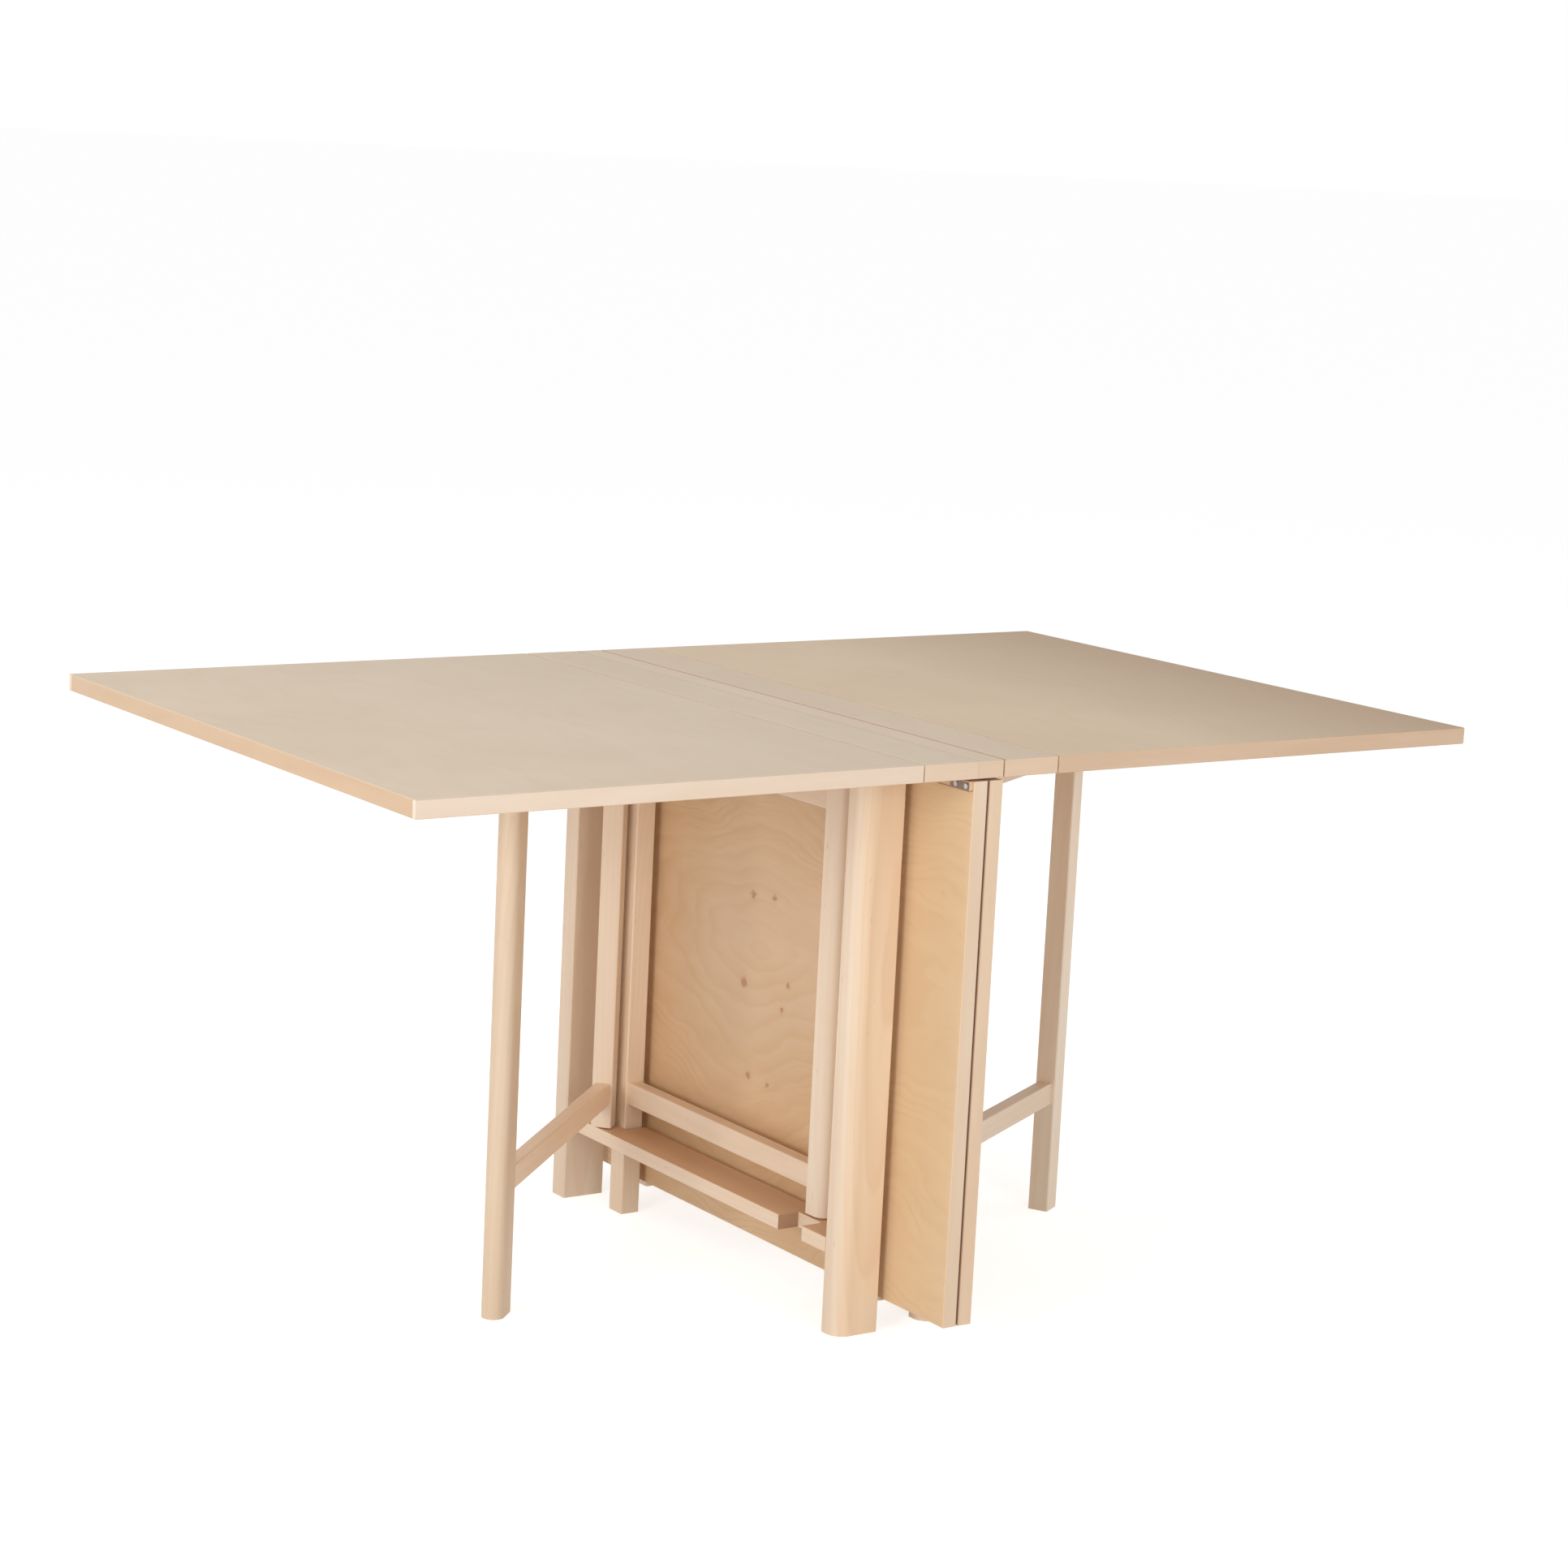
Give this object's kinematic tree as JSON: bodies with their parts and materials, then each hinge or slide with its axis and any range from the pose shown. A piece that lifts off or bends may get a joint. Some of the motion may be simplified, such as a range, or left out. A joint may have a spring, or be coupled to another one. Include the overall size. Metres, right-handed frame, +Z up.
{
  "type": "butterfly folding table",
  "caption": "Butterfly folding table: narrow half frames with gates under raised outer leaves, and inner leaves hanging back to back between the halves.",
  "frame": {"origin": "on the floor, under the centre of the table top", "axes": "+X along the length of the top, from the left half to the right half; +Z up; +Y across the top towards the back"},
  "size_m": [1.51, 0.9, 0.72],
  "materials": {
    "birch_top": "pale birch veneer, satin lacquer",
    "birch_underside": "rotary-cut birch veneer with knots, satin lacquer",
    "birch_lipping": "solid birch, satin lacquer",
    "birch_frame": "solid birch, satin lacquer",
    "steel": "zinc-plated steel"
  },
  "bodies": {
    "left_frame": {"left_board": "birch_top", "left_board_lipping": "birch_lipping", "left_lip_strip": "birch_lipping", "left_front_leg": "birch_frame", "left_back_leg": "birch_frame", "left_top_rail": "birch_frame", "left_bottom_plank": "birch_frame", "left_board_hinge_plates": "steel", "left_board_hinge_pins": "steel", "left_board_screws": "steel"},
    "left_outer_leaf": {"left_outer_leaf": "birch_top", "left_outer_leaf_lipping": "birch_lipping", "left_outer_leaf_hinge_plates": "steel", "left_outer_leaf_screws": "steel"},
    "left_outer_gate": {"left_outer_gate_post": "birch_frame", "left_outer_gate_leg": "birch_frame", "left_outer_gate_stretcher": "birch_frame", "left_outer_gate_rail": "birch_frame", "left_outer_gate_pivot_pins": "steel"},
    "left_inner_gate": {"left_inner_gate_post": "birch_frame", "left_inner_gate_leg": "birch_frame", "left_inner_gate_stretcher": "birch_frame", "left_inner_gate_rail": "birch_frame", "left_inner_gate_pivot_pins": "steel"},
    "right_frame": {"right_board": "birch_top", "right_board_lipping": "birch_lipping", "right_front_leg": "birch_frame", "right_back_leg": "birch_frame", "right_top_rail": "birch_frame", "right_bottom_plank": "birch_frame", "right_board_hinge_plates": "steel", "right_board_hinge_pins": "steel", "right_board_screws": "steel", "inner_hinge_board_plates": "steel", "inner_hinge_pins": "steel", "right_inner_gate_post": "birch_frame", "right_inner_gate_leg": "birch_frame", "right_inner_gate_stretcher": "birch_frame", "right_inner_gate_rail": "birch_frame", "right_inner_gate_pivot_pins": "steel"},
    "inner_leaves": {"inner_leaf_right": "birch_underside", "inner_leaf_right_lipping": "birch_lipping", "inner_leaf_left": "birch_underside", "inner_leaf_left_lipping": "birch_lipping", "inner_hinge_leaf_plates": "steel", "inner_hinge_leaf_screws": "steel", "concealed_hinge_barrels": "steel", "concealed_hinge_links": "steel", "leaf_battens": "birch_lipping", "leaf_batten_plates": "steel", "leaf_batten_screws": "steel"},
    "right_outer_leaf": {"right_outer_leaf": "birch_top", "right_outer_leaf_lipping": "birch_lipping", "right_outer_leaf_hinge_plates": "steel", "right_outer_leaf_screws": "steel"},
    "right_outer_gate": {"right_outer_gate_post": "birch_frame", "right_outer_gate_leg": "birch_frame", "right_outer_gate_stretcher": "birch_frame", "right_outer_gate_rail": "birch_frame", "right_outer_gate_pivot_pins": "steel"}
  },
  "joints": [
    {"name": "left_outer_leaf_lift", "type": "hinge", "parent": "left_frame", "child": "left_outer_leaf", "pos_m": [-0.0975, 0, 0.696], "axis": [0, 1, 0], "range_deg": [0, 2.5]},
    {"name": "left_outer_gate_swing", "type": "hinge", "parent": "left_frame", "child": "left_outer_gate", "pos_m": [-0.0805, 0.232, 0.4], "axis": [0, 0, -1], "range_deg": [-47.6, 42.4]},
    {"name": "left_inner_gate_swing", "type": "hinge", "parent": "left_frame", "child": "left_inner_gate", "pos_m": [-0.0505, -0.232, 0.4], "axis": [0, 0, -1], "range_deg": [0, 36]},
    {"name": "frames_slide", "type": "slide", "parent": "left_frame", "child": "right_frame", "axis": [1, 0, 0], "range_m": [0, 1.316]},
    {"name": "inner_leaves_swing", "type": "hinge", "parent": "right_frame", "child": "inner_leaves", "pos_m": [0.01965, 0, 0.69785], "axis": [0, 1, 0], "range_deg": [0, 90]},
    {"name": "right_outer_leaf_lift", "type": "hinge", "parent": "right_frame", "child": "right_outer_leaf", "pos_m": [0.0975, 0, 0.696], "axis": [0, -1, 0], "range_deg": [0, 2.5]},
    {"name": "right_outer_gate_swing", "type": "hinge", "parent": "right_frame", "child": "right_outer_gate", "pos_m": [0.0805, -0.232, 0.4], "axis": [0, 0, -1], "range_deg": [-60.5, 29.5]}
  ],
  "couplings": [
    {"joint": "left_inner_gate_swing", "follows": "frames_slide", "rad_per_m": 0.47612},
    {"joint": "inner_leaves_swing", "follows": "frames_slide", "rad_per_m": 1.1923}
  ]
}
